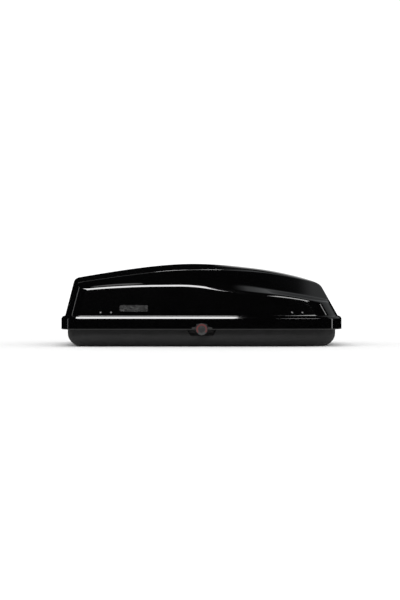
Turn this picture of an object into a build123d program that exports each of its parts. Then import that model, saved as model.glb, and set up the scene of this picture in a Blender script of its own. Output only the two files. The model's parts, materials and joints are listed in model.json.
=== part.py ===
from build123d import *
import math
import os

# Roof cargo box: hinged lid, two lid struts, a central lock with two sliding rods, slotted rails.
# Millimetres. +X is the nose, -Y the side that opens, +Y the hinge side, +Z up. The tray stands on z = 0.

# Overall sizes
LENGTH = 1340.0
WIDTH = 790.0
HEIGHT = 390.0
WALL = 4.0

# Plan outline: straight sides, a slow taper to the nose, slightly bowed ends
TAPER_START = 200.0
NOSE_WIDTH = 710.0
END_BOW = 34.0
REAR_CORNER_R = 100.0
NOSE_CORNER_R = 150.0

# Lid edge: upright skirt, chamfer, then drafted walls
SKIRT_BOTTOM = 78.5
SKIRT_TOP = 129.0
CHAMFER_IN = 17.0
CHAMFER_TOP = 141.4
SIDE_DRAFT = 0.222
REAR_DRAFT = 0.246
NOSE_DRAFT = 0.55
WALL_TOP = HEIGHT + 40.0
SECTION_REACH = WIDTH / 2 + 65.0
SHOULDER_Y = 350.0
ROOF_EDGE_R = 12.0
FLANK_FOOT_R = 5.0

# Lid cross sections: distance along the box, shoulder height, flank foot distance from the
# middle, flank foot height, crown height, crown curvature (y squared over this is the drop)
LID_SECTIONS = (
    (-700, 250, 328, 266, 306, 3400),
    (-500, 269, 328, 286, 340.5, 2800),
    (-300, 280, 325, 297.5, 370.5, 2300),
    (-40, 272, 324, 303, 390, 2228),
    (150, 258, 311, 288.5, 380.5, 2228),
    (300, 244, 297, 265, 364.5, 2228),
    (420, 229, 278, 245.5, 342, 2228),
    (520, 208, 252, 229, 315, 2228),
    (560, 199, 233, 222, 297, 2228),
    (600, 192, 207, 214, 265, 2228),
    (640, 185, 167, 203, 226, 2228),
    (670, 180, 130, 186, 200, 2228),
)

# Tray
TRAY_INSET = 28.0
RIM_TOP = 122.0
RIM_GAP = 3.0
TRAY_BOTTOM_R = 60.0
BEAD_YS = (-170.0, -90.0, 90.0, 170.0)
BEAD_LENGTH = 960.0
BEAD_WIDTH = 24.0
BEAD_HEIGHT = 6.0

# Slotted rails for the roof bar fixings
RAIL_Y = 260.0
RAIL_SHIFT = -40.0
RAIL_LENGTH = 780.0
RAIL_WIDTH = 60.0
RAIL_THICK = 2.5
RAIL_LIP = 9.0
SLOT_SPACING = 520.0
SLOT_LENGTH = 200.0
SLOT_R = 3.5
RAIL_RIVET_XS = (-370.0, -130.0, 130.0, 370.0)

# Rivets
SHANK_R = 2.4
HOLE_GAP = 0.05
HEAD_R = 5.3
HEAD_H = 1.9

# Hinges
HINGE_Y = 381.0
HINGE_Z = 98.0
HINGE_XS = {"rear": -480.0, "middle": -160.0, "front": 160.0}
LEAF_WIDTH = 60.0
LEAF_THICK = 2.5
KNUCKLE_R = 5.5
KNUCKLE_GAP = 1.0
MIDDLE_KNUCKLE = 28.0
HINGE_PIN_R = 2.5
RUNNING_FIT = 0.05
LEAF_RIVET_X = 20.0

# Lid struts: both pivots lie at one distance from the hinge axis
STRUT_XS = {"rear": -500.0, "front": 355.0}
STRUT_LID_Y = 335.0
STRUT_LID_Z = 200.0
STRUT_TRAY_ANGLE = 16.0
LID_OPEN_ANGLE = 50.0
TUBE_R = 9.0
TUBE_BORE_R = 7.0
ROD_R = 4.0
PIVOT_R = 4.0
EYE_R = 8.0
EYE_WIDTH = 8.0
SLOT_PLAY = 5.2
EAR_THICK = 3.0

# Lock
LOCK_Z = 80.0
RING_R = 26.5
RING_BORE_R = 16.5
BARREL_R = 12.5
HOUSING_R = 17.0
HOUSING_FLANGE_R = 25.0
NECK_R = 15.0
SHAFT_R = 5.0
CAM_R = 18.0
CAM_PIN_R = 3.0
CAM_THROW = 12.0
NOTCH_GAP = 1.5
POCKET_DEPTH = 16.0
LOCK_ROD_THICK = 3.0
LOCK_ROD_HEIGHT = 14.0
YOKE_PLAY = 0.6
CATCH_X = 440.0
CATCH_RIVET_X = 24.0
CATCH_RIVET_Z = 156.0
CATCH_THICK = 3.0
WINDOW_GAP = 2.5
GUIDE_XS = (110.0, 300.0)
GUIDE_GAP = 0.5

# Stiffening bow under the roof
BOW_X = -40.0
BOW_THICK = 3.0
BOW_FOOT_Z = 180.0

# Plain name plate without any mark
PLATE_X = -312.0
PLATE_Z = 176.0
PLATE_LENGTH = 130.0
PLATE_HEIGHT = 30.0
PLATE_THICK = 1.2


os.makedirs("parts", exist_ok=True)


def save(shape, name):
    """Writes one node."""
    export_step(shape, f"parts/{name}.step")


def block(x0, x1, y0, y1, z0, z1):
    """Box between two corners."""
    middle = ((x0 + x1) / 2, (y0 + y1) / 2, (z0 + z1) / 2)
    return Location(middle) * Box(x1 - x0, y1 - y0, z1 - z0)


def rod_x(x0, x1, y, z, radius):
    """Round bar along X."""
    return Location(((x0 + x1) / 2, y, z), (0, 90, 0)) * Cylinder(radius, x1 - x0)


def rod_y(x, z, y0, y1, radius):
    """Round bar along Y."""
    return Location((x, (y0 + y1) / 2, z), (90, 0, 0)) * Cylinder(radius, y1 - y0)


def rod_z(x, y, z0, z1, radius):
    """Round bar along Z."""
    return Location((x, y, (z0 + z1) / 2)) * Cylinder(radius, z1 - z0)


def taper_radius():
    """Radius of the arc that carries the side from its straight part to the nose."""
    run = LENGTH / 2 - END_BOW - TAPER_START
    drop = (WIDTH - NOSE_WIDTH) / 2
    return (run * run + drop * drop) / (2 * drop)


def side_y(x):
    """Half width of the plan outline."""
    if x < TAPER_START:
        return WIDTH / 2
    radius = taper_radius()
    return WIDTH / 2 - radius + math.sqrt(radius**2 - (x - TAPER_START) ** 2)


def side_angle(x):
    """Angle of the plan outline to the X axis, in degrees."""
    if x < TAPER_START:
        return 0.0
    return math.degrees(math.asin((x - TAPER_START) / taper_radius()))


def plan(z, inset, rise=0.0):
    """Plan outline at height z, moved inwards by inset and by the wall drafts over rise."""
    back = -LENGTH / 2 + inset + REAR_DRAFT * rise
    nose = LENGTH / 2 - inset - NOSE_DRAFT * rise
    wide = WIDTH / 2 - inset - SIDE_DRAFT * rise
    narrow = NOSE_WIDTH / 2 - inset - SIDE_DRAFT * rise
    back_corner = (back + END_BOW, wide)
    nose_corner = (nose - END_BOW, narrow)
    shoulder = Vector(TAPER_START, wide, 0)
    shoulder_low = Vector(TAPER_START, -wide, 0)
    outline = Wire([
        Edge.make_line(back_corner, shoulder),
        Edge.make_tangent_arc(shoulder, Vector(1, 0, 0), Vector(*nose_corner, 0)),
        Edge.make_three_point_arc(nose_corner, (nose, 0), (nose_corner[0], -narrow)),
        Edge.make_tangent_arc(shoulder_low, Vector(1, 0, 0), Vector(nose_corner[0], -narrow, 0)),
        Edge.make_line(shoulder_low, (back_corner[0], -wide)),
        Edge.make_three_point_arc((back_corner[0], -wide), (back, 0), back_corner),
    ])
    face = Face(outline)
    at_back = [v for v in face.vertices() if v.X < back + END_BOW + 1]
    face = face.fillet_2d(REAR_CORNER_R - 0.7 * inset, at_back)
    at_nose = [v for v in face.vertices() if v.X > TAPER_START + 1 and abs(abs(v.Y) - narrow) < 1]
    face = face.fillet_2d(NOSE_CORNER_R - 0.7 * inset, at_nose)
    return Location((0, 0, z)) * face


def column(inset, z0, z1):
    """Upright solid with the plan outline."""
    return extrude(plan(z0, inset), amount=z1 - z0, dir=(0, 0, 1))


def lid_section(x, shoulder, foot_y, foot_z, crown, curve, depth):
    """Cross section of the lid's upper surface at x, lowered evenly by depth."""
    shoulder -= depth
    crown -= depth
    foot_z -= depth
    foot_y -= depth * (math.sqrt(2) - 1)
    slope = (foot_z - shoulder) / (SHOULDER_Y - foot_y)
    # the flank rises at 45 degrees until it meets the crown z = crown - y^2 / curve
    edge_y = curve / 2 * (1 - math.sqrt(1 - 4 / curve * (foot_z + foot_y - crown)))
    edge_z = crown - edge_y**2 / curve
    outer_z = shoulder - slope * (SECTION_REACH - SHOULDER_Y)
    right = [(SECTION_REACH, 0), (SECTION_REACH, outer_z), (foot_y, foot_z), (edge_y, edge_z)]
    left = [(-y, z) for y, z in reversed(right)]
    edges = [Edge.make_line((x, *a), (x, *b)) for a, b in zip(right, right[1:])]
    edges += [Edge.make_three_point_arc((x, *right[-1]), (x, 0, crown), (x, *left[0]))]
    edges += [Edge.make_line((x, *a), (x, *b)) for a, b in zip(left, left[1:])]
    edges += [Edge.make_line((x, *left[-1]), (x, *right[0]))]
    face = Face(Wire(edges))
    face = face.fillet_2d(ROOF_EDGE_R, [v for v in face.vertices() if abs(v.Z - edge_z) < 0.1])
    return face.fillet_2d(FLANK_FOOT_R, [v for v in face.vertices() if abs(v.Z - foot_z) < 0.1])


def lid_body(depth):
    """Solid under the lid's surface, moved inwards by depth."""
    drop = 0.7 * depth
    foot = CHAMFER_TOP - drop
    rise = WALL_TOP - foot
    walls = loft([plan(foot, CHAMFER_IN + depth), plan(WALL_TOP, CHAMFER_IN + depth, rise)], ruled=True)
    top = loft([lid_section(*values, depth) for values in LID_SECTIONS])
    chamfer = loft([plan(SKIRT_TOP - drop, depth), plan(foot, CHAMFER_IN + depth)], ruled=True)
    return column(depth, SKIRT_BOTTOM, SKIRT_TOP - drop) + chamfer + (walls & top)


def on_wall(body, x, z, side):
    """Frame on the side wall of body: Z out of the wall, Y up the wall."""
    hits = body.find_intersection_points(Axis((x, 0, z), (0, side, 0)))
    point, normal = max(hits, key=lambda hit: hit[0].Y * side)
    return Plane(point, x_dir=Vector(0, 0, 1).cross(normal), z_dir=normal).location


def rivet(shank, head_h=HEAD_H):
    """Domed rivet: head above z = 0, shank below it."""
    ball_r = (HEAD_R**2 + head_h**2) / (2 * head_h)
    dome = Location((0, 0, head_h - ball_r)) * Sphere(ball_r)
    dome = dome & rod_z(0, 0, 0, head_h, HEAD_R)
    return dome + rod_z(0, 0, -shank, 0, SHANK_R)


# Lid shell
lid_outer = lid_body(0)
lid_inner = lid_body(WALL)
skirt_cut = column(WALL, SKIRT_BOTTOM - 1, SKIRT_BOTTOM + 1)
lid = lid_outer - lid_inner - skirt_cut

notch_r = RING_R + NOTCH_GAP
lid -= rod_y(0, LOCK_Z, -WIDTH / 2 - 1, -WIDTH / 2 + WALL + 1, notch_r)

# Tray shell with floor beads, rim flange and lock pocket
tray_outer = column(TRAY_INSET, 0, RIM_TOP)
tray_outer = tray_outer.fillet(TRAY_BOTTOM_R, [e for e in tray_outer.edges() if e.center().Z < 0.01])
rim_inset = WALL + RIM_GAP
tray_outer += column(rim_inset, RIM_TOP - WALL, RIM_TOP)
tray_inner = column(TRAY_INSET + WALL, WALL, RIM_TOP + 1)
inner_floor = [e for e in tray_inner.edges() if e.center().Z < WALL + 0.01]
tray_inner = tray_inner.fillet(TRAY_BOTTOM_R - WALL, inner_floor)

wall_out = -WIDTH / 2 + TRAY_INSET
wall_in = wall_out + WALL


def pocket(grow):
    """Scoop in the tray wall around the lock: wide sloping mouth, narrower back."""
    mouth = [(-69, 112), (-69, 79), (-54, 47), (54, 47), (69, 79), (69, 112)]
    back = [(-66, 110), (-66, 80), (-50, 62), (50, 62), (66, 80), (66, 110)]
    faces = []
    for outline, y in ((mouth, wall_out - 2), (back, wall_out + POCKET_DEPTH + grow)):
        corners = [(x + math.copysign(grow, x), z + (grow if z > LOCK_Z + 10 else -grow)) for x, z in outline]
        faces.append(Face(Wire.make_polygon([(x, y, z) for x, z in corners], close=True)))
    return loft(faces, ruled=True)


tray = (tray_outer - pocket(0)) - (tray_inner - pocket(WALL))
for bead_y in BEAD_YS:
    half = BEAD_WIDTH / 2
    bead_x0 = RAIL_SHIFT - BEAD_LENGTH / 2
    bead_x1 = RAIL_SHIFT + BEAD_LENGTH / 2
    ridge = block(bead_x0, bead_x1, bead_y - half - WALL, bead_y + half + WALL, WALL - 1, WALL + BEAD_HEIGHT)
    ridge = chamfer(ridge.edges().group_by(Axis.Z)[-1], 3)
    groove = block(bead_x0 + WALL, bead_x1 - WALL, bead_y - half, bead_y + half, -1, BEAD_HEIGHT)
    tray = tray + ridge - groove

# Steel rails on the floor, with the same slots cut through rail and floor
slot_xs = (RAIL_SHIFT - SLOT_SPACING / 2, RAIL_SHIFT + SLOT_SPACING / 2)
rail_top = WALL + RAIL_THICK
for side, rail_name in ((-1, "left"), (1, "right")):
    y = side * RAIL_Y
    x0 = RAIL_SHIFT - RAIL_LENGTH / 2
    x1 = RAIL_SHIFT + RAIL_LENGTH / 2
    half = RAIL_WIDTH / 2
    rail = block(x0, x1, y - half, y + half, WALL, WALL + RAIL_LIP)
    rail -= block(x0 - 1, x1 + 1, y - half + RAIL_THICK, y + half - RAIL_THICK, rail_top, WALL + RAIL_LIP + 1)
    for slot_x in slot_xs:
        slot = Location((slot_x, y, -1)) * extrude(SlotOverall(SLOT_LENGTH, 2 * SLOT_R), rail_top + 2)
        rail -= slot
        tray -= slot
    for rivet_x in RAIL_RIVET_XS:
        hole = rod_z(RAIL_SHIFT + rivet_x, y, -1, rail_top + 1, SHANK_R + HOLE_GAP)
        rail -= hole
        tray -= hole
    save(rail, f"rail_{rail_name}")
rail_rivets = [
    Location((RAIL_SHIFT + x, side * RAIL_Y, rail_top)) * rivet(rail_top - 0.5)
    for x in RAIL_RIVET_XS
    for side in (-1, 1)
]
save(Compound(rail_rivets), "rail_rivets")

# Three butt hinges between the tray wall and the lid's skirt
tray_wall = WIDTH / 2 - TRAY_INSET
skirt_wall = WIDTH / 2 - WALL
outer_knuckle = (LEAF_WIDTH - MIDDLE_KNUCKLE - 2 * KNUCKLE_GAP) / 2
hinge_pins = []
tray_rivets = []
lid_rivets = []
for place, x in HINGE_XS.items():
    x0 = x - LEAF_WIDTH / 2
    x1 = x + LEAF_WIDTH / 2
    leaf = block(x0, x1, tray_wall, tray_wall + LEAF_THICK, HINGE_Z - 13, HINGE_Z + 14)
    for k0, k1 in ((x0, x0 + outer_knuckle), (x1 - outer_knuckle, x1)):
        leaf += block(k0, k1, tray_wall, HINGE_Y, HINGE_Z - KNUCKLE_R, HINGE_Z - KNUCKLE_R + LEAF_THICK)
        leaf += rod_x(k0, k1, HINGE_Y, HINGE_Z, KNUCKLE_R)
    lid_leaf = block(x0, x1, skirt_wall - LEAF_THICK, skirt_wall, HINGE_Z - 12, HINGE_Z + 18)
    k0 = x - MIDDLE_KNUCKLE / 2
    k1 = x + MIDDLE_KNUCKLE / 2
    lid_leaf += block(k0, k1, HINGE_Y, skirt_wall, HINGE_Z + KNUCKLE_R - LEAF_THICK, HINGE_Z + KNUCKLE_R)
    lid_leaf += rod_x(k0, k1, HINGE_Y, HINGE_Z, KNUCKLE_R)
    pin_hole = rod_x(x0 - 1, x1 + 1, HINGE_Y, HINGE_Z, HINGE_PIN_R + RUNNING_FIT)
    leaf -= pin_hole
    lid_leaf -= pin_hole
    pin = rod_x(x0 - 1, x1 + 1, HINGE_Y, HINGE_Z, HINGE_PIN_R)
    pin += rod_x(x0 - 2.5, x0, HINGE_Y, HINGE_Z, HINGE_PIN_R + 1.5)
    pin += rod_x(x1, x1 + 2.5, HINGE_Y, HINGE_Z, HINGE_PIN_R + 1.5)
    hinge_pins.append(pin)
    for dx in (-LEAF_RIVET_X, LEAF_RIVET_X):
        tray_z = HINGE_Z + 9.5
        lid_z = HINGE_Z + 12
        hole_r = SHANK_R + HOLE_GAP
        leaf -= rod_y(x + dx, tray_z, tray_wall - 1, tray_wall + LEAF_THICK + 1, hole_r)
        tray -= rod_y(x + dx, tray_z, tray_wall - WALL - 1, tray_wall + 1, hole_r)
        lid_leaf -= rod_y(x + dx, lid_z, skirt_wall - LEAF_THICK - 1, skirt_wall + 1, hole_r)
        lid -= rod_y(x + dx, lid_z, skirt_wall - 1, skirt_wall + WALL + 1, hole_r)
        flat_head = rod_z(0, 0, 0, 1.5, HEAD_R - 1)
        tray_rivet = flat_head + rod_z(0, 0, -WALL - LEAF_THICK + 0.2, 0, SHANK_R)
        tray_rivets.append(Location((x + dx, tray_wall + LEAF_THICK, tray_z), (-90, 0, 0)) * tray_rivet)
        lid_rivet = flat_head + rod_z(0, 0, -WALL - LEAF_THICK + 0.2, 0, SHANK_R)
        lid_rivets.append(Location((x + dx, skirt_wall - LEAF_THICK, lid_z), (90, 0, 0)) * lid_rivet)
    save(leaf, f"hinge_{place}_tray_leaf")
    save(lid_leaf, f"hinge_{place}_lid_leaf")
save(Compound(hinge_pins), "hinge_pins")
save(Compound(tray_rivets), "hinge_tray_rivets")
save(Compound(lid_rivets), "hinge_lid_rivets")

# Lid struts
pivot_reach = math.hypot(HINGE_Y - STRUT_LID_Y, STRUT_LID_Z - HINGE_Z)
tray_angle = math.radians(STRUT_TRAY_ANGLE)
tray_pivot_y = HINGE_Y - pivot_reach * math.cos(tray_angle)
tray_pivot_z = HINGE_Z - pivot_reach * math.sin(tray_angle)
rest_length = math.hypot(STRUT_LID_Y - tray_pivot_y, STRUT_LID_Z - tray_pivot_z)
spread = math.asin(rest_length / 2 / pivot_reach)
open_length = 2 * pivot_reach * math.sin(spread + math.radians(LID_OPEN_ANGLE / 2))
stroke = open_length - rest_length
tube_end = rest_length - 38.0
bore_r = PIVOT_R + RUNNING_FIT
rise_angle = math.degrees(math.atan2(STRUT_LID_Z - tray_pivot_z, STRUT_LID_Y - tray_pivot_y))


def along_strut(x):
    """Frame at the tray pivot of the strut at x: X towards the lid pivot, Y along the hinge axis."""
    origin = Location((x, tray_pivot_y, tray_pivot_z))
    return origin * Location((0, 0, 0), (0, 0, 90)) * Location((0, 0, 0), (0, -rise_angle, 0))


half_eye = EYE_WIDTH / 2
tube_start = EYE_R + 4
tube = rod_y(0, 0, -half_eye, half_eye, EYE_R)
tube += block(0, tube_start + 1, -half_eye, half_eye, -EYE_R + 1, EYE_R - 1)
tube += rod_x(tube_start, tube_end, 0, 0, TUBE_R)
tube -= rod_x(tube_start + 5, tube_end - 5, 0, 0, TUBE_BORE_R)
tube -= rod_x(tube_end - 6, tube_end + 1, 0, 0, ROD_R + RUNNING_FIT)
tube -= rod_y(0, 0, -EYE_R, EYE_R, bore_r)

piston_x = tube_start + 8
rod = rod_x(piston_x, rest_length - EYE_R + 2, 0, 0, ROD_R)
rod += rod_x(piston_x, piston_x + 8, 0, 0, TUBE_BORE_R - RUNNING_FIT)
eye = Location((rest_length + SLOT_PLAY / 2, 0, 0), (90, 0, 0)) * SlotOverall(SLOT_PLAY + 2 * EYE_R, 2 * EYE_R)
rod += extrude(eye, half_eye, both=True)
eye_slot = Location((rest_length + SLOT_PLAY / 2, 0, 0), (90, 0, 0)) * SlotOverall(SLOT_PLAY + 2 * bore_r, 2 * bore_r)
rod -= extrude(eye_slot, EYE_R, both=True)

ear_x = half_eye + 0.7
bracket_rivets = []
floor_rivets = []
for place, x in STRUT_XS.items():
    save(along_strut(x) * tube, f"strut_{place}_tube")
    save(along_strut(x) * rod, f"strut_{place}_rod")

    # floor bracket: foot on the tray floor, one ear beside the tube's eye, pivot pin with a head
    foot_x = x + ear_x + EAR_THICK
    foot = block(x + ear_x, foot_x + 26, tray_pivot_y - 20, tray_pivot_y + 16, WALL, WALL + EAR_THICK)
    ear = block(x + ear_x, foot_x, tray_pivot_y - 20, tray_pivot_y + 16, WALL, 22)
    ear_top = [(-20, 21), (16, 21), (9, tray_pivot_z), (-9, tray_pivot_z)]
    ear_face = Face(Wire.make_polygon([(x + ear_x, tray_pivot_y + y, z) for y, z in ear_top], close=True))
    ear += extrude(ear_face, amount=EAR_THICK, dir=(1, 0, 0))
    ear += rod_x(x + ear_x, foot_x, tray_pivot_y, tray_pivot_z, 9)
    pivot = rod_x(x - half_eye - 0.6, foot_x, tray_pivot_y, tray_pivot_z, PIVOT_R)
    pivot += rod_x(x - half_eye - 2.6, x - half_eye - 0.6, tray_pivot_y, tray_pivot_z, PIVOT_R + 2)
    bracket = foot + ear + pivot
    for dy in (-12, 8):
        rivet_at = (foot_x + 14, tray_pivot_y + dy)
        hole = rod_z(*rivet_at, -1, WALL + EAR_THICK + 1, SHANK_R + HOLE_GAP)
        bracket -= hole
        tray -= hole
        floor_rivets.append(Location((*rivet_at, WALL + EAR_THICK)) * rivet(WALL + EAR_THICK - 0.5))
    save(bracket, f"strut_{place}_tray_bracket")

    # lid bracket: plate on the side wall, one ear down to the pivot
    wall_frame = on_wall(lid_inner, x, STRUT_LID_Z, 1)
    ear_x1 = x + ear_x + EAR_THICK
    plate = wall_frame * block(-ear_x - 34, -ear_x, -19, 19, -EAR_THICK, 2)
    lid_ear = block(x + ear_x, ear_x1, STRUT_LID_Y, STRUT_LID_Y + 60, STRUT_LID_Z - 9, STRUT_LID_Z + 9)
    lid_ear += rod_x(x + ear_x, ear_x1, STRUT_LID_Y, STRUT_LID_Z, 9)
    pivot = rod_x(x - half_eye - 0.6, ear_x1, STRUT_LID_Y, STRUT_LID_Z, PIVOT_R)
    pivot += rod_x(x - half_eye - 2.6, x - half_eye - 0.6, STRUT_LID_Y, STRUT_LID_Z, PIVOT_R + 2)
    bracket = ((plate + lid_ear) & lid_inner) + pivot
    for dz in (-12, 12):
        rivet_at = wall_frame * Location((-ear_x - 20, dz, -EAR_THICK), (180, 0, 0))
        hole = rivet_at * rod_z(0, 0, -15, 1, SHANK_R + HOLE_GAP)
        bracket -= hole
        lid -= hole
        bracket_rivets.append(rivet_at * rivet(EAR_THICK + WALL))
    save(bracket, f"strut_{place}_lid_bracket")
save(Compound(floor_rivets), "strut_tray_rivets")
save(Compound(bracket_rivets), "strut_lid_rivets")

# Lock: housing in the pocket, ring around it, barrel with cam
lock_front = -WIDTH / 2 + 0.8
pocket_back = wall_out + POCKET_DEPTH
pocket_inside = pocket_back + WALL
housing = rod_y(0, LOCK_Z, lock_front + 3, pocket_back, HOUSING_R)
housing += rod_y(0, LOCK_Z, lock_front + 3, lock_front + 7, HOUSING_FLANGE_R)
housing += rod_y(0, LOCK_Z, pocket_back, pocket_inside, NECK_R)
barrel_end = pocket_back - 5
housing -= rod_y(0, LOCK_Z, lock_front - 1, barrel_end, BARREL_R + RUNNING_FIT)
housing -= rod_y(0, LOCK_Z, barrel_end - 1, pocket_inside + 1, SHAFT_R + RUNNING_FIT)
tray -= rod_y(0, LOCK_Z, pocket_back - 1, pocket_inside + 1, NECK_R + HOLE_GAP)
save(housing, "lock_housing")

ring = rod_y(0, LOCK_Z, lock_front, lock_front + 3, RING_R)
ring -= rod_y(0, LOCK_Z, lock_front - 1, lock_front + 4, RING_BORE_R)
ring = fillet(ring.edges().filter_by(GeomType.CIRCLE).group_by(Axis.Y)[0], 0.8)
band = rod_y(0, LOCK_Z, lock_front - 0.6, lock_front + 1.2, RING_R - 1.5)
band -= rod_y(0, LOCK_Z, lock_front - 1, lock_front + 2, RING_BORE_R + 1.5)
quarter = Wire.make_polygon([(0, 0, LOCK_Z), (-40, 0, LOCK_Z - 32), (40, 0, LOCK_Z - 32)], close=True)
band -= extrude(Face(quarter), WIDTH, both=True)
ring -= band
save(ring, "lock_ring")
save(band, "lock_indicator")

cam_y = pocket_inside + 1.8
rod_y0 = cam_y + CATCH_THICK + 0.5
rod_y1 = rod_y0 + LOCK_ROD_THICK
barrel = rod_y(0, LOCK_Z, lock_front + 0.4, barrel_end - 0.2, BARREL_R)
barrel = fillet(barrel.edges().filter_by(GeomType.CIRCLE).group_by(Axis.Y)[0], 1.2)
barrel += rod_y(0, LOCK_Z, barrel_end - 0.3, cam_y + CATCH_THICK, SHAFT_R)
barrel -= rod_y(0, LOCK_Z, lock_front - 1, lock_front + 1.2, 7)
barrel -= block(-1.3, 1.3, lock_front - 1, lock_front + 9, LOCK_Z - 4.5, LOCK_Z + 4.5)
save(barrel, "lock_barrel")

pin_offset = CAM_THROW / math.sqrt(2)
cam = rod_y(0, LOCK_Z, cam_y, cam_y + CATCH_THICK, CAM_R)
cam -= rod_y(0, LOCK_Z, cam_y - 1, cam_y + CATCH_THICK + 1, SHAFT_R)
for sign in (-1, 1):
    cam += rod_y(-sign * pin_offset, LOCK_Z + sign * pin_offset, cam_y, rod_y1 + 1, CAM_PIN_R)
save(cam, "lock_cam")

# Two flat rods, one half turn apart about the lock's axis
slot_half = CAM_PIN_R + YOKE_PLAY
rod_z0 = LOCK_Z + pin_offset - slot_half - 1
rod_z1 = rod_z0 + LOCK_ROD_HEIGHT
rod_end = CATCH_X - CATCH_THICK / 2 - 6
yoke_x0 = -pin_offset - slot_half - 5
lock_rod = block(yoke_x0, 10, rod_y0, rod_y1, LOCK_Z + 1.8, LOCK_Z + CAM_THROW + slot_half + 4)
lock_rod += block(0, rod_end, rod_y0, rod_y1, rod_z0, rod_z1)
lock_rod -= block(
    -pin_offset - slot_half,
    -pin_offset + slot_half,
    rod_y0 - 1,
    rod_y1 + 1,
    LOCK_Z + pin_offset - slot_half,
    LOCK_Z + CAM_THROW + slot_half,
)
half_turn = Location((0, 0, LOCK_Z)) * Location((0, 0, 0), (0, 180, 0)) * Location((0, 0, -LOCK_Z))
save(lock_rod, "lock_rod_front")
save(half_turn * lock_rod, "lock_rod_rear")

for side, place in ((1, "front"), (-1, "rear")):
    bar_z0 = rod_z0 if side > 0 else 2 * LOCK_Z - rod_z1
    bar_z1 = bar_z0 + LOCK_ROD_HEIGHT

    # guides: blocks on the tray wall that the rod slides through
    for number, x in enumerate(GUIDE_XS, 1):
        guide = block(side * x - 9, side * x + 9, -WIDTH / 2, rod_y1 + 4, bar_z0 - 5, bar_z1 + 5)
        guide = chamfer(guide.edges().filter_by(Axis.X).group_by(Axis.Y)[-1], 2)
        guide -= block(
            side * x - 10,
            side * x + 10,
            rod_y0 - GUIDE_GAP,
            rod_y1 + GUIDE_GAP,
            bar_z0 - GUIDE_GAP,
            bar_z1 + GUIDE_GAP,
        )
        guide = guide & tray_inner
        save(guide, f"rod_guide_{place}_{number}")

    # catch: plate on the lid wall with a tab that hangs inside the tray wall
    x = side * CATCH_X
    wall_frame = on_wall(lid_inner, x, CATCH_RIVET_Z, -1)
    flange = wall_frame * block(-36, 36, -14, 14, -CATCH_THICK, 2)
    half = CATCH_THICK / 2
    tray_side = -(side_y(x) - TRAY_INSET - WALL - 2.2)
    tab_in = rod_y1 + WINDOW_GAP + 6
    upper = block(x - half, x + half, -WIDTH / 2, tab_in, CATCH_RIVET_Z - 13, CATCH_RIVET_Z + 13)
    tab_bottom = bar_z0 - WINDOW_GAP - 7
    lower = block(x - half, x + half, tray_side, tab_in, tab_bottom, CATCH_RIVET_Z)
    catch = ((flange + upper) & lid_inner) + lower
    catch -= block(
        x - half - 1,
        x + half + 1,
        rod_y0 - WINDOW_GAP,
        rod_y1 + WINDOW_GAP,
        bar_z0 - WINDOW_GAP,
        bar_z1 + WINDOW_GAP,
    )
    outside = on_wall(lid_outer, x, CATCH_RIVET_Z, -1)
    rivets = []
    for dx in (-CATCH_RIVET_X, CATCH_RIVET_X):
        rivet_at = outside * Location((dx, 0, 0))
        hole = rivet_at * rod_z(0, 0, -12, 0.5, SHANK_R + HOLE_GAP)
        catch -= hole
        lid -= hole
        rivets.append(rivet_at * rivet(WALL + CATCH_THICK))
    save(catch, f"catch_{place}")
    save(Compound(rivets), f"catch_{place}_rivets")

# Stiffening bow glued under the roof
bow = (lid_inner - lid_body(WALL + BOW_THICK)) & block(BOW_X - 45, BOW_X + 45, -WIDTH, WIDTH, BOW_FOOT_Z, HEIGHT)
save(bow, "lid_stiffener")

# Plain name plate
plate_frame = on_wall(lid_outer, PLATE_X, PLATE_Z, -1)
plate = extrude(RectangleRounded(PLATE_LENGTH, PLATE_HEIGHT, 6), PLATE_THICK)
save(plate_frame * plate, "name_plate")

save(tray, "tray")
save(lid, "lid")
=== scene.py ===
import json
import math

import bmesh
import bpy
import numpy as np
from mathutils import Matrix, Vector


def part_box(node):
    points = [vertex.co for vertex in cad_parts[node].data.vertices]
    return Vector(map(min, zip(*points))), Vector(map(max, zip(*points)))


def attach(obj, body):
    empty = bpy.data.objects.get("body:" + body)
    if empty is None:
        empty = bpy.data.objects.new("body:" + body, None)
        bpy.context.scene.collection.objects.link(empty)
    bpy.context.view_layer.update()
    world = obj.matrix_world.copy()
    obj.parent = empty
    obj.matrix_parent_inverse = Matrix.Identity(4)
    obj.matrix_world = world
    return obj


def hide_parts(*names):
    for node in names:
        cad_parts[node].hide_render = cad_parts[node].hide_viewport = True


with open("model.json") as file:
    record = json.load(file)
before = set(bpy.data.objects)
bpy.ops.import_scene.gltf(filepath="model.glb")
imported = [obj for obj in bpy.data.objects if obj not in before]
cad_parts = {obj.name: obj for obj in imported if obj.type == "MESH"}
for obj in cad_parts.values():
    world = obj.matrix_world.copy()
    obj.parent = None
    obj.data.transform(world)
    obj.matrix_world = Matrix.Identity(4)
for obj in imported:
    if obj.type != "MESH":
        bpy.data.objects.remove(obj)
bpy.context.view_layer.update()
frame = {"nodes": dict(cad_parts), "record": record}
NODES = frame["nodes"]

# ---------------------------------------------------------------- sizes in metres, as in the part
LID_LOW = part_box("lid")[0]
LENGTH = 1.34
WIDTH = 0.79
TAPER_START = 0.2
NOSE_NARROWING = 0.04
END_BOW = 0.034
REAR_CORNER_R = 0.1
NOSE_CORNER_R = 0.15
WALL = 0.004
SKIRT_BOTTOM = 0.0785
SKIRT_TOP = 0.129
CHAMFER_IN = 0.017
CHAMFER_TOP = 0.1414
WALL_TOP = 0.43
SIDE_DRAFT = 0.222
REAR_DRAFT = 0.246
NOSE_DRAFT = 0.55
SHOULDER_Y = 0.35
FACET_IN = 0.0058
FACET_TOP = 0.138
EDGE_SOFT = 0.0012
HOLLOW_R = 0.0008
FOOT_CREASE = 0.003
ROOF_CREASE = 0.0026
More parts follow.
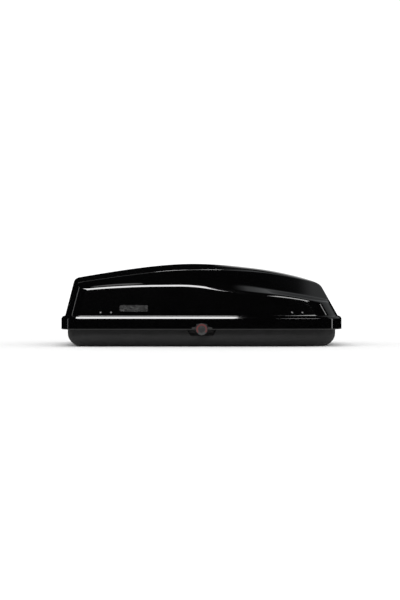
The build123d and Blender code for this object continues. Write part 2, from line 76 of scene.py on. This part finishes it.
# rounding of the edge between wall and roof: along the sides, over the rear, over the nose
SIDE_CREST_R = 0.024
REAR_CREST_R = 0.036
NOSE_CREST_R = 0.07
CREST_BLEND = 0.24
# share of an inset that comes off the radius of the corners
CORNER_SHRINK = 0.7
# the line in the middle plane that the roof's rows run in to
SPINE_SHARE = 0.62
SPINE_REAR = -0.36
SPINE_NOSE = 0.33
HALVINGS = 40
LOCK_Z = 0.08
NOTCH_R = 0.028
PLATE_CORNER = 0.0075
PLATE_RIM_WIDTH = 0.0016
PLATE_STEP = 0.0003
PLATE_THICK = 0.0008
FLOOR_R = 1.9
ROOM_LIGHT = 1.16
CAMERA_AT = (-0.008, -6.5, 0.2144)
LENS_MM = 80.16
# station, shoulder height, flank foot distance, flank foot height, crown height, crown curvature (mm)
LID_SECTIONS = np.array((
    (-700, 250, 328, 266, 306, 3400),
    (-500, 269, 328, 283.5, 340.5, 2800),
    (-300, 280, 325, 295, 370.5, 2300),
    (-40, 272, 324, 303, 390, 2228),
    (150, 258, 311, 288.5, 380.5, 2228),
    (300, 244, 297, 265, 364.5, 2228),
    (420, 229, 278, 245.5, 342, 2228),
    (520, 208, 252, 229, 315, 2228),
    (560, 199, 233, 222, 297, 2228),
    (600, 192, 207, 214, 265, 2228),
    (640, 185, 167, 203, 226, 2228),
    (670, 180, 130, 186, 200, 2228),
)) / 1000


# ---------------------------------------------------------------- small helpers
def spline(xs, ys):
    """Natural cubic spline through the stations, as a function."""
    n = len(xs)
    h = np.diff(xs)
    a = np.eye(n)
    b = np.zeros(n)
    for i in range(1, n - 1):
        a[i, i - 1 : i + 2] = h[i - 1], 2 * (h[i - 1] + h[i]), h[i]
        b[i] = 6 * ((ys[i + 1] - ys[i]) / h[i] - (ys[i] - ys[i - 1]) / h[i - 1])
    m = np.linalg.solve(a, b)

    def value(x):
        x = np.clip(x, xs[0], xs[-1])
        i = np.clip(np.searchsorted(xs, x) - 1, 0, n - 2)
        p, q = xs[i + 1] - x, x - xs[i]
        curve = (m[i] * p**3 + m[i + 1] * q**3) / (6 * h[i])
        return curve + (ys[i] / h[i] - m[i] * h[i] / 6) * p + (ys[i + 1] / h[i] - m[i + 1] * h[i] / 6) * q

    return value


SHOULDER_AT, FOOT_Y_AT, FOOT_Z_AT, CROWN_AT, CURVE_AT = (
    spline(LID_SECTIONS[:, 0], LID_SECTIONS[:, k]) for k in range(1, 6)
)


def soft_min(a, b, k):
    """The lower of two heights, with a rounded change-over of width k."""
    h = np.maximum(k - np.abs(a - b), 0) / k
    return np.minimum(a, b) - h * h * k / 4


def edge_y_at(x):
    """Half width at which the flank meets the crown."""
    reach = FOOT_Z_AT(x) + FOOT_Y_AT(x) - CROWN_AT(x)
    curve = CURVE_AT(x)
    return curve / 2 * (1 - np.sqrt(np.maximum(1 - 4 / curve * reach, 0)))


def lid_top(x, y):
    """Height of the lid's upper surface: ledge, flank and crown with soft creases."""
    y = np.abs(y)
    foot_y, foot_z, shoulder = FOOT_Y_AT(x), FOOT_Z_AT(x), SHOULDER_AT(x)
    slope = (foot_z - shoulder) / (SHOULDER_Y - foot_y)
    ledge = shoulder + slope * (SHOULDER_Y - y)
    flank = foot_z + foot_y - y
    crown = CROWN_AT(x) - y * y / CURVE_AT(x)
    return soft_min(crown, -soft_min(-ledge, -flank, FOOT_CREASE), ROOF_CREASE)


def circle_meet(c0, r0, c1, r1):
    """Upper meeting point of two circles."""
    d = c1 - c0
    dist = np.hypot(*d)
    a = (r0**2 - r1**2 + dist**2) / (2 * dist)
    h = math.sqrt(max(r0**2 - a**2, 0))
    mid = c0 + d * a / dist
    side = np.array((-d[1], d[0])) / dist * h
    return max((mid + side, mid - side), key=lambda p: p[1])


def arc(centre, radius, start, end, count):
    """Points on a circle between two of its points, the first left out."""
    a0 = math.atan2(start[1] - centre[1], start[0] - centre[0])
    a1 = math.atan2(end[1] - centre[1], end[0] - centre[0])
    angles = a0 + (a1 - a0) * np.arange(1, count + 1) / count
    return np.stack((centre[0] + radius * np.cos(angles), centre[1] + radius * np.sin(angles)), 1)


def flat_arc(start, end, centre, radius, count):
    """Points on a very flat arc, evenly spaced across the box."""
    y = start[1] + (end[1] - start[1]) * np.arange(1, count + 1) / count
    side = math.copysign(1, start[0] - centre[0])
    return np.stack((centre[0] + side * np.sqrt(radius**2 - y**2), y), 1)


def half_outline(inset, rise):
    """Plan outline from the middle of the rear to the middle of the nose, on the +Y side."""
    back = -LENGTH / 2 + inset + REAR_DRAFT * rise
    nose = LENGTH / 2 - inset - NOSE_DRAFT * rise
    wide = WIDTH / 2 - inset - SIDE_DRAFT * rise
    narrow = wide - NOSE_NARROWING
    rear_r = REAR_CORNER_R - CORNER_SHRINK * inset
    nose_r = NOSE_CORNER_R - CORNER_SHRINK * inset
    rear_bow_r = (wide**2 + END_BOW**2) / (2 * END_BOW)
    nose_bow_r = (narrow**2 + END_BOW**2) / (2 * END_BOW)
    run = nose - END_BOW - TAPER_START
    taper_r = (run**2 + NOSE_NARROWING**2) / (2 * NOSE_NARROWING)
    rear_centre = np.array((back + rear_bow_r, 0.0))
    corner_x = rear_centre[0] - math.sqrt((rear_bow_r - rear_r) ** 2 - (wide - rear_r) ** 2)
    corner = np.array((corner_x, wide - rear_r))
    out = (corner - rear_centre) / np.hypot(*(corner - rear_centre))
    rear_join = rear_centre + out * rear_bow_r
    taper_centre = np.array((TAPER_START, wide - taper_r))
    nose_centre = np.array((nose - nose_bow_r, 0.0))
    front = circle_meet(taper_centre, taper_r - nose_r, nose_centre, nose_bow_r - nose_r)
    out = (front - taper_centre) / np.hypot(*(front - taper_centre))
    taper_join = taper_centre + out * taper_r
    out = (front - nose_centre) / np.hypot(*(front - nose_centre))
    nose_join = nose_centre + out * nose_bow_r
    start = np.array(((back, 0.0),))
    side_start = np.array((corner_x, wide))
    side_end = np.array((TAPER_START, wide))
    steps = np.arange(1, 31)[:, None] / 30
    return np.concatenate((
        start,
        flat_arc(start[0], rear_join, rear_centre, rear_bow_r, 16),
        arc(corner, rear_r, rear_join, side_start, 22),
        side_start + (side_end - side_start) * steps,
        arc(taper_centre, taper_r, side_end, taper_join, 22),
        arc(front, nose_r, taper_join, nose_join, 26),
        flat_arc(nose_join, (nose, 0.0), nose_centre, nose_bow_r, 16),
    ))


def whole_outline(inset, rise):
    """Closed plan outline as a ring of points."""
    half = half_outline(inset, rise)
    other = half[-2:0:-1] * (1, -1)
    return np.concatenate((half, other))


# ---------------------------------------------------------------- lid shell
def bend(a, corner, b, t):
    """Point at t on the curve from a to b that rounds off the corner."""
    a, corner, b = np.asarray(a), np.asarray(corner), np.asarray(b)
    return a * (1 - t) ** 2 + corner * 2 * t * (1 - t) + b * t * t


def share_where(test, count):
    """Share along each of count lines, from 0 to 1, up to which the test holds."""
    low, high = np.zeros(count), np.ones(count)
    for _ in range(HALVINGS):
        mid = (low + high) / 2
        held = test(mid)
        low, high = np.where(held, mid, low), np.where(held, high, mid)
    return low


def ring_at(inset, z):
    """Level ring round the lid at an inset and a height."""
    xy = whole_outline(inset, 0.0)
    return np.column_stack((xy, np.full(len(xy), z)))


def skirt_rings():
    """Rings from the skirt's lower edge to the top of the chamfer."""
    rows = [
        (EDGE_SOFT * (1 - math.sin(t)), SKIRT_BOTTOM + EDGE_SOFT * (1 - math.cos(t)))
        for t in np.linspace(0, math.pi / 2, 4)
    ]
    rows += [(0.0, z) for z in np.linspace(SKIRT_BOTTOM + 0.004, SKIRT_TOP - 0.004, 9)]
    # the chamfer: a steep bright face, then a narrow flat step to the wall
    base, brow = np.array((0.0, SKIRT_TOP)), np.array((FACET_IN, FACET_TOP))
    step_end = np.array((CHAMFER_IN, CHAMFER_TOP))
    climb = (brow - base) / np.linalg.norm(brow - base)
    tread = (step_end - brow) / np.linalg.norm(step_end - brow)
    rows += [bend(base - (0, EDGE_SOFT), base, base + climb * EDGE_SOFT, t) for t in np.linspace(0, 1, 6)]
    rows += [base + (brow - base) * f for f in (0.2, 0.5, 0.8)]
    rows += [bend(brow - climb * EDGE_SOFT, brow, brow + tread * EDGE_SOFT, t) for t in np.linspace(0, 1, 6)]
    rows.append((brow + step_end) / 2)
    return [ring_at(inset, z) for inset, z in rows]


def roof_height_at(xy):
    """Points of the roof above points of the plan."""
    return np.column_stack((xy, lid_top(xy[:, 0], xy[:, 1])))


def wall_rings():
    """Rings up the wall and over its rounded upper edge, then where each roof line starts and ends."""
    foot = ring_at(CHAMFER_IN, CHAMFER_TOP)
    top_xy = whole_outline(CHAMFER_IN, WALL_TOP - CHAMFER_TOP)
    wall = np.column_stack((top_xy, np.full(len(top_xy), WALL_TOP))) - foot

    def under_roof(share):
        at = foot + wall * share[:, None]
        return at[:, 2] < lid_top(at[:, 0], at[:, 1])

    crest = foot + wall * share_where(under_roof, len(foot))[:, None]
    spine_x = np.clip(crest[:, 0] * SPINE_SHARE, SPINE_REAR, SPINE_NOSE)
    spine = np.column_stack((spine_x, np.zeros(len(crest))))
    inward = np.column_stack((spine - crest[:, :2], np.zeros(len(crest))))
    inward /= np.linalg.norm(inward, axis=1)[:, None]
    ahead = roof_height_at((crest + inward * 0.012)[:, :2])
    ahead = (ahead - crest) / np.linalg.norm(ahead - crest, axis=1)[:, None]
    up = wall / np.linalg.norm(wall, axis=1)[:, None]
    turn = np.arccos(np.clip((up * ahead).sum(1), -1, 1))

    # crest rounding: tight along the sides, wider over the rear and widest over the nose
    middle = np.clip(1 - np.abs(crest[:, 1]) / CREST_BLEND, 0, 1)
    middle = middle * middle * (3 - 2 * middle)
    widest = np.where(crest[:, 0] > 0, NOSE_CREST_R, REAR_CREST_R)
    radius = SIDE_CREST_R + (widest - SIDE_CREST_R) * middle
    tangent = np.minimum(radius * np.tan(turn / 2), NOSE_CREST_R)
    below = crest - up * tangent[:, None]
    beyond = crest + inward * (tangent * np.linalg.norm(ahead[:, :2], axis=1))[:, None]
    beyond = roof_height_at(beyond[:, :2])

    # hollow corner where the step meets the wall
    before = ring_at(CHAMFER_IN - HOLLOW_R, CHAMFER_TOP)
    after = foot + up * HOLLOW_R
    rings = [bend(before, foot, after, t) for t in np.linspace(0, 1, 5)]
    rings += [after + (below - after) * f for f in np.linspace(0.08, 0.92, 10)]
    rings += [bend(below, crest, beyond, t) for t in np.linspace(0, 1, 12)]
    return rings, beyond[:, :2], spine


def roof_rings(start_xy, end_xy):
    """Rings over the roof, closer together at the flank's foot and at the roof's edge."""
    run_in = end_xy - start_xy

    def crossing(half_width):
        def outside(share):
            at = start_xy + run_in * share[:, None]
            return np.abs(at[:, 1]) > half_width(at[:, 0])

        return share_where(outside, len(run_in))

    span = np.linalg.norm(run_in, axis=1)
    foot_at = np.maximum(crossing(FOOT_Y_AT), 0.03)
    edge_at = np.maximum(crossing(edge_y_at), foot_at + 0.03)
    foot_half = np.minimum(0.012 / span, foot_at * 0.45)
    edge_half = np.minimum(0.010 / span, (edge_at - foot_at) * 0.45)
    knots = (
        np.zeros(len(span)),
        foot_at - foot_half,
        foot_at + foot_half,
        edge_at - edge_half,
        edge_at + edge_half,
        np.ones(len(span)),
    )
    rings = []
    for start, end, count in zip(knots, knots[1:], (8, 10, 8, 14, 26)):
        for f in np.arange(1, count + 1) / count:
            rings.append(roof_height_at(start_xy + run_in * (start + (end - start) * f)[:, None]))
    return rings


def lid_rows():
    """Rings of points from the skirt's lower edge to the middle line of the roof."""
    walls, start_xy, end_xy = wall_rings()
    return np.array(skirt_rings() + walls + roof_rings(start_xy, end_xy))


def new_piece(bm, name, body, material, smooth=True, replaces=()):
    """Finishes a bmesh as a piece that rides on a body."""
    mesh = bpy.data.meshes.new(name)
    bm.to_mesh(mesh)
    bm.free()
    mesh.polygons.foreach_set("use_smooth", [smooth] * len(mesh.polygons))
    obj = bpy.data.objects.new(name, mesh)
    bpy.context.scene.collection.objects.link(obj)
    mesh.materials.append(material)
    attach(obj, body)
    if replaces:
        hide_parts(*replaces)
    return obj


def applied(obj):
    """The object's mesh with its modifiers, in place of the modifiers."""
    bpy.context.view_layer.update()
    shown = obj.evaluated_get(bpy.context.evaluated_depsgraph_get())
    mesh = bpy.data.meshes.new_from_object(shown)
    obj.modifiers.clear()
    obj.data = mesh
    return obj


def build_lid(material):
    """Closed 4 mm shell over the rings of the lid."""
    rings = lid_rows()
    n_rows, n_round = rings.shape[:2]
    bm = bmesh.new()
    bmesh.ops.create_grid(bm, x_segments=n_round, y_segments=n_rows - 1, size=1)
    for v in bm.verts:
        around = round((v.co.x + 1) / 2 * n_round) % n_round
        row = round((v.co.y + 1) / 2 * (n_rows - 1))
        v.co = rings[row, around]
    bmesh.ops.remove_doubles(bm, verts=bm.verts, dist=0.00005)
    bmesh.ops.recalc_face_normals(bm, faces=bm.faces)
    obj = new_piece(bm, "lid_shell", "lid", material, replaces=("lid",))
    shell = obj.modifiers.new("wall", "SOLIDIFY")
    shell.thickness = WALL
    shell.offset = -1
    shell.use_even_offset = True
    return obj


def cut_lock_notch(lid):
    """Cuts the round notch for the lock out of the skirt's lower edge."""
    bm = bmesh.new()
    across = Matrix.Translation((0, LID_LOW.y + WALL / 2, LOCK_Z)) @ Matrix.Rotation(math.pi / 2, 4, "X")
    bmesh.ops.create_cone(
        bm, cap_ends=True, segments=96, radius1=NOTCH_R, radius2=NOTCH_R, depth=0.012, matrix=across
    )
    mesh = bpy.data.meshes.new("notch_cutter")
    bm.to_mesh(mesh)
    bm.free()
    cutter = bpy.data.objects.new("notch_cutter", mesh)
    bpy.context.scene.collection.objects.link(cutter)
    cut = lid.modifiers.new("notch", "BOOLEAN")
    cut.operation = "DIFFERENCE"
    cut.solver = "EXACT"
    cut.object = cutter
    applied(lid)
    bpy.data.objects.remove(cutter)


# ---------------------------------------------------------------- finishes
def surface(name, colour, roughness, metallic=0.0, ior=1.5, grain=(900, 0.00002),
            mottle=(9, 0.08), rub=(60, 0.15), tint=0.12):
    """Procedural finish: grain as bump, mottled roughness, rubbed streaks and a slight change of colour.

    grain is (fineness, height in metres); mottle and rub are (fineness, spread of roughness).
    """
    mat = bpy.data.materials.new(name)
    mat.use_nodes = True
    nodes, links = mat.node_tree.nodes, mat.node_tree.links
    shader = nodes["Principled BSDF"]
    shader.inputs["Metallic"].default_value = metallic
    shader.inputs["IOR"].default_value = ior
    place = nodes.new("ShaderNodeTexCoord")

    def noise(scale, detail, stretch=(1, 1, 1)):
        turn = nodes.new("ShaderNodeMapping")
        turn.inputs["Scale"].default_value = stretch
        tex = nodes.new("ShaderNodeTexNoise")
        tex.inputs["Scale"].default_value = scale
        tex.inputs["Detail"].default_value = detail
        links.new(place.outputs["Object"], turn.inputs["Vector"])
        links.new(turn.outputs["Vector"], tex.inputs["Vector"])
        return tex.outputs["Fac"]

    def spread(value, low, high):
        span = nodes.new("ShaderNodeMapRange")
        span.inputs["From Min"].default_value = 0.3
        span.inputs["From Max"].default_value = 0.7
        span.inputs["To Min"].default_value = low
        span.inputs["To Max"].default_value = high
        links.new(value, span.inputs["Value"])
        return span.outputs["Result"]

    def maths(kind, a, b):
        node = nodes.new("ShaderNodeMath")
        node.operation = kind
        for socket, value in zip(node.inputs, (a, b)):
            if isinstance(value, (int, float)):
                socket.default_value = value
            else:
                links.new(value, socket)
        return node.outputs["Value"]

    handled = spread(noise(mottle[0], 3), -mottle[1] / 2, mottle[1] / 2)
    streaks = spread(noise(rub[0], 5, (1, 1, 7)), 0, rub[1])
    base_rough = maths("MAXIMUM", maths("ADD", maths("ADD", handled, streaks), roughness), 0.02)
    links.new(base_rough, shader.inputs["Roughness"])

    shade = nodes.new("ShaderNodeMix")
    shade.data_type = "RGBA"
    shade.inputs["A"].default_value = (*[c * (1 - tint) for c in colour], 1)
    shade.inputs["B"].default_value = (*[c * (1 + tint) for c in colour], 1)
    links.new(spread(noise(mottle[0] * 3, 6), 0, 1), shade.inputs["Factor"])
    links.new(shade.outputs["Result"], shader.inputs["Base Color"])

    bump = nodes.new("ShaderNodeBump")
    bump.inputs["Strength"].default_value = 1
    bump.inputs["Distance"].default_value = grain[1]
    links.new(noise(grain[0], 2), bump.inputs["Height"])
    links.new(bump.outputs["Normal"], shader.inputs["Normal"])
    return mat


FINISHES = {
    "lid_gloss": surface(
        "gloss_black_lid", (0.0011, 0.0011, 0.0012), 0.045, grain=(24, 0.00004),
        mottle=(6, 0.02), rub=(90, 0.02), tint=0.2,
    ),
    "tray_plastic": surface(
        "grained_tray", (0.0062, 0.0062, 0.0064), 0.7, grain=(700, 0.00009), mottle=(14, 0.1), rub=(120, 0.1),
    ),
    "stiffener_plastic": surface("black_bow", (0.02, 0.02, 0.02), 0.5, grain=(600, 0.00006)),
    "zinc_steel": surface("zinc_plate", (0.55, 0.56, 0.57), 0.32, metallic=1, rub=(220, 0.2), tint=0.08),
    "rod_alloy": surface("drawn_alloy", (0.6, 0.6, 0.61), 0.35, metallic=1, rub=(260, 0.2), tint=0.06),
    "rivet_metal": surface("satin_aluminium", (0.62, 0.62, 0.63), 0.3, metallic=1, tint=0.06),
    "black_rivets": surface("black_rivet_paint", (0.03, 0.03, 0.03), 0.32, grain=(500, 0.00002)),
    "hinge_steel": surface("black_hinge_coat", (0.03, 0.03, 0.032), 0.42, grain=(420, 0.00004)),
    "bright_steel": surface("polished_steel", (0.7, 0.7, 0.72), 0.12, metallic=1, rub=(300, 0.08), tint=0.04),
    "strut_black": surface("strut_paint", (0.015, 0.015, 0.016), 0.28, grain=(300, 0.00002)),
    "bracket_steel": surface("bracket_zinc", (0.46, 0.47, 0.48), 0.36, metallic=1, rub=(180, 0.2)),
    "lock_grey": surface("lock_ring_grey", (0.024, 0.024, 0.025), 0.42, grain=(800, 0.00003)),
    "lock_red": surface("lock_red_band", (0.11, 0.003, 0.003), 0.35, grain=(600, 0.00001), tint=0.1),
    "lock_black": surface("lock_body_black", (0.012, 0.012, 0.012), 0.5, grain=(700, 0.00005)),
    "barrel_chrome": surface("satin_barrel", (0.045, 0.045, 0.046), 0.4, metallic=1, rub=(500, 0.15)),
    "guide_plastic": surface("guide_nylon", (0.05, 0.05, 0.05), 0.45, grain=(500, 0.00004)),
    "plate_grey": surface("blank_plate", (0.002, 0.002, 0.0021), 0.12, grain=(300, 0.00001)),
}


PLATE_RIM = surface("plate_rim", (0.055, 0.055, 0.057), 0.35, grain=(500, 0.00001))


# ---------------------------------------------------------------- plate
def build_plate():
    """Blank plate with rounded corners and a thin raised rim, in place of the flat one."""
    low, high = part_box("name_plate")
    centre = (low + high) / 2
    # it leans back with the side wall
    lean = math.atan(SIDE_DRAFT)
    length = high.x - low.x
    tall = (high.z - low.z) / math.cos(lean) - 0.0006
    place = Matrix.Translation(centre) @ Matrix.Rotation(math.pi / 2 - lean, 4, "X")
    bm = bmesh.new()
    bmesh.ops.create_grid(bm, x_segments=1, y_segments=1, size=0.5)
    bmesh.ops.scale(bm, vec=(length, tall, 1), verts=bm.verts)
    bmesh.ops.bevel(
        bm, geom=bm.verts[:], offset=PLATE_CORNER, segments=8, profile=0.5, affect="VERTICES", material=-1
    )
    face = max(bm.faces, key=lambda f: f.calc_area())
    bmesh.ops.inset_region(bm, faces=[face], thickness=PLATE_RIM_WIDTH, depth=0)
    bmesh.ops.inset_region(bm, faces=[face], thickness=0.0004, depth=-PLATE_STEP)
    bmesh.ops.transform(bm, matrix=place, verts=bm.verts)
    for f in bm.faces:
        f.material_index = 1
    max(bm.faces, key=lambda f: f.calc_area()).material_index = 0
    bm.normal_update()
    plate = new_piece(bm, "blank_plate", "lid", FINISHES["plate_grey"], False, ("name_plate",))
    plate.data.materials.append(PLATE_RIM)
    back = plate.modifiers.new("thickness", "SOLIDIFY")
    back.thickness = PLATE_THICK
    back.offset = -1


# ---------------------------------------------------------------- studio
def light_panel(name, centre, aim, size, strength):
    """A flat softbox, level along its first side, that shows only in glossy surfaces."""
    data = bpy.data.lights.new(name, "AREA")
    data.shape = "RECTANGLE"
    data.size, data.size_y = size
    data.energy = strength * math.pi * size[0] * size[1]
    panel = bpy.data.objects.new(name, data)
    back = (Vector(centre) - Vector(aim)).normalized()
    level = Vector((0, 0, 1)).cross(back)
    across = level.normalized() if level.length > 0.05 else Vector((1, 0, 0))
    turn = Matrix((across, back.cross(across), back)).transposed().to_4x4()
    panel.matrix_world = Matrix.Translation(centre) @ turn
    panel.visible_camera = False
    panel.visible_diffuse = False
    bpy.context.scene.collection.objects.link(panel)


def overhead(name, x0, x1, y0, y1, strength, height=2.0):
    """A softbox that hangs level over the box."""
    centre = ((x0 + x1) / 2, (y0 + y1) / 2, height)
    light_panel(name, centre, (centre[0], centre[1], 0), (x1 - x0, y1 - y0), strength)


def smooth_step(tree, value, low, high):
    """Node that runs smoothly from 0 at low to 1 at high."""
    span = tree.nodes.new("ShaderNodeMapRange")
    span.interpolation_type = "SMOOTHSTEP"
    span.inputs["From Min"].default_value = low
    span.inputs["From Max"].default_value = high
    tree.links.new(value, span.inputs["Value"])
    return span.outputs["Result"]


def times(tree, *values):
    """Product of several sockets."""
    total = values[0]
    for value in values[1:]:
        node = tree.nodes.new("ShaderNodeMath")
        node.operation = "MULTIPLY"
        tree.links.new(total, node.inputs[0])
        tree.links.new(value, node.inputs[1])
        total = node.outputs["Value"]
    return total


def build_world(scene):
    """White to the eye and to matt surfaces, nearly dark to glossy ones."""
    world = bpy.data.worlds.new("white_room")
    scene.world = world
    world.use_nodes = True
    nodes, links = world.node_tree.nodes, world.node_tree.links
    white, dark = nodes["Background"], nodes.new("ShaderNodeBackground")
    white.inputs["Color"].default_value = (1, 1, 1, 1)
    white.inputs["Strength"].default_value = ROOM_LIGHT
    dark.inputs["Color"].default_value = (0.95, 0.98, 1, 1)
    # a dim band of light high behind the box, which the ledges mirror
    toward = nodes.new("ShaderNodeTexCoord")
    axes = nodes.new("ShaderNodeSeparateXYZ")
    links.new(toward.outputs["Generated"], axes.inputs["Vector"])
    band = times(
        world.node_tree,
        smooth_step(world.node_tree, axes.outputs["Z"], 0.22, 0.42),
        smooth_step(world.node_tree, axes.outputs["Z"], 0.97, 0.86),
        smooth_step(world.node_tree, axes.outputs["Y"], 0.05, 0.2),
        smooth_step(world.node_tree, axes.outputs["X"], 0.03, 0.14),
    )
    dim = nodes.new("ShaderNodeMath")
    dim.operation = "MULTIPLY_ADD"
    dim.inputs[1].default_value = 0.4
    dim.inputs[2].default_value = 0.002
    links.new(band, dim.inputs[0])
    links.new(dim.outputs["Value"], dark.inputs["Strength"])
    path, choose = nodes.new("ShaderNodeLightPath"), nodes.new("ShaderNodeMixShader")
    links.new(path.outputs["Is Glossy Ray"], choose.inputs["Fac"])
    links.new(white.outputs["Background"], choose.inputs[1])
    links.new(dark.outputs["Background"], choose.inputs[2])
    links.new(choose.outputs["Shader"], nodes["World Output"].inputs["Surface"])


def glow_card(scene):
    """Faded card behind the nose end that the roof's far slope mirrors."""
    bm = bmesh.new()
    place = Matrix.Translation((0.45, 1.7, 0.62)) @ Matrix.Rotation(math.pi / 2, 4, "X")
    bmesh.ops.create_grid(bm, x_segments=1, y_segments=1, size=0.4, matrix=place)
    mesh = bpy.data.meshes.new("glow_card")
    bm.to_mesh(mesh)
    bm.free()
    card = bpy.data.objects.new("glow_card", mesh)
    scene.collection.objects.link(card)
    mat = bpy.data.materials.new("faded_card")
    mat.use_nodes = True
    tree = mat.node_tree
    tree.nodes.remove(tree.nodes["Principled BSDF"])
    glow, spot = tree.nodes.new("ShaderNodeEmission"), tree.nodes.new("ShaderNodeTexCoord")
    axes = tree.nodes.new("ShaderNodeSeparateXYZ")
    tree.links.new(spot.outputs["Object"], axes.inputs["Vector"])
    fade = times(
        tree,
        smooth_step(tree, axes.outputs["X"], 0.06, 0.34),
        smooth_step(tree, axes.outputs["X"], 0.84, 0.7),
        smooth_step(tree, axes.outputs["Z"], 0.95, 0.36),
    )
    level = tree.nodes.new("ShaderNodeMath")
    level.operation = "MULTIPLY"
    level.inputs[1].default_value = 1.8
    tree.links.new(fade, level.inputs[0])
    tree.links.new(level.outputs["Value"], glow.inputs["Strength"])
    tree.links.new(glow.outputs["Emission"], tree.nodes["Material Output"].inputs["Surface"])
    mesh.materials.append(mat)
    card.visible_camera = False
    card.visible_diffuse = False
    card.visible_shadow = False


def build_floor(scene):
    """Pale paper floor, wide enough to fade out of view."""
    bm = bmesh.new()
    bmesh.ops.create_circle(bm, cap_ends=True, segments=96, radius=FLOOR_R)
    mesh = bpy.data.meshes.new("floor")
    bm.to_mesh(mesh)
    bm.free()
    floor = bpy.data.objects.new("floor", mesh)
    scene.collection.objects.link(floor)
    paper = surface("floor_paper", (0.9, 0.9, 0.9), 0.9, ior=1.1, grain=(300, 0.00005), tint=0.01)
    mesh.materials.append(paper)

def build_studio():
    """World, floor, softboxes and camera."""
    scene = bpy.context.scene
    scene.view_settings.view_transform = "Standard"
    scene.view_settings.look = "None"
    build_world(scene)
    build_floor(scene)

    overhead("crest_panel", -1.5, 0.22, -3.0, -0.82, 19)
    overhead("nose_crest_panel", 0.85, 1.8, -3.0, -1.5, 9)
    overhead("ledge_rear_panel", -1.6, 0.2, 0.45, 0.93, 0.9)
    overhead("roof_edge_panel", -0.42, 0.3, 0.95, 1.5, 8)
    light_panel("nose_strip", (2.6, -0.5, 0.8), (0.6, -0.2, 0.3), (0.14, 1.6), 5)
    light_panel("rear_strip", (-2.6, -0.5, 0.8), (-0.6, -0.2, 0.3), (0.1, 1.6), 3)
    glow_card(scene)

    lens = bpy.data.cameras.new("view_camera")
    lens.lens = LENS_MM
    lens.sensor_width = 36
    camera = bpy.data.objects.new("view_camera", lens)
    camera.matrix_world = Matrix.Translation(CAMERA_AT) @ Matrix.Rotation(math.pi / 2, 4, "X")
    scene.collection.objects.link(camera)
    scene.camera = camera


def finish_cad_nodes():
    """Gives every carried-over node the finish of its slot."""
    for part in frame["record"]["subparts"]:
        materials = NODES[part["node"]].data.materials
        materials.clear()
        materials.append(FINISHES[part["material_slot"]])


finish_cad_nodes()
lid_shell = build_lid(FINISHES["lid_gloss"])
applied(lid_shell)
cut_lock_notch(lid_shell)
build_plate()
build_studio()
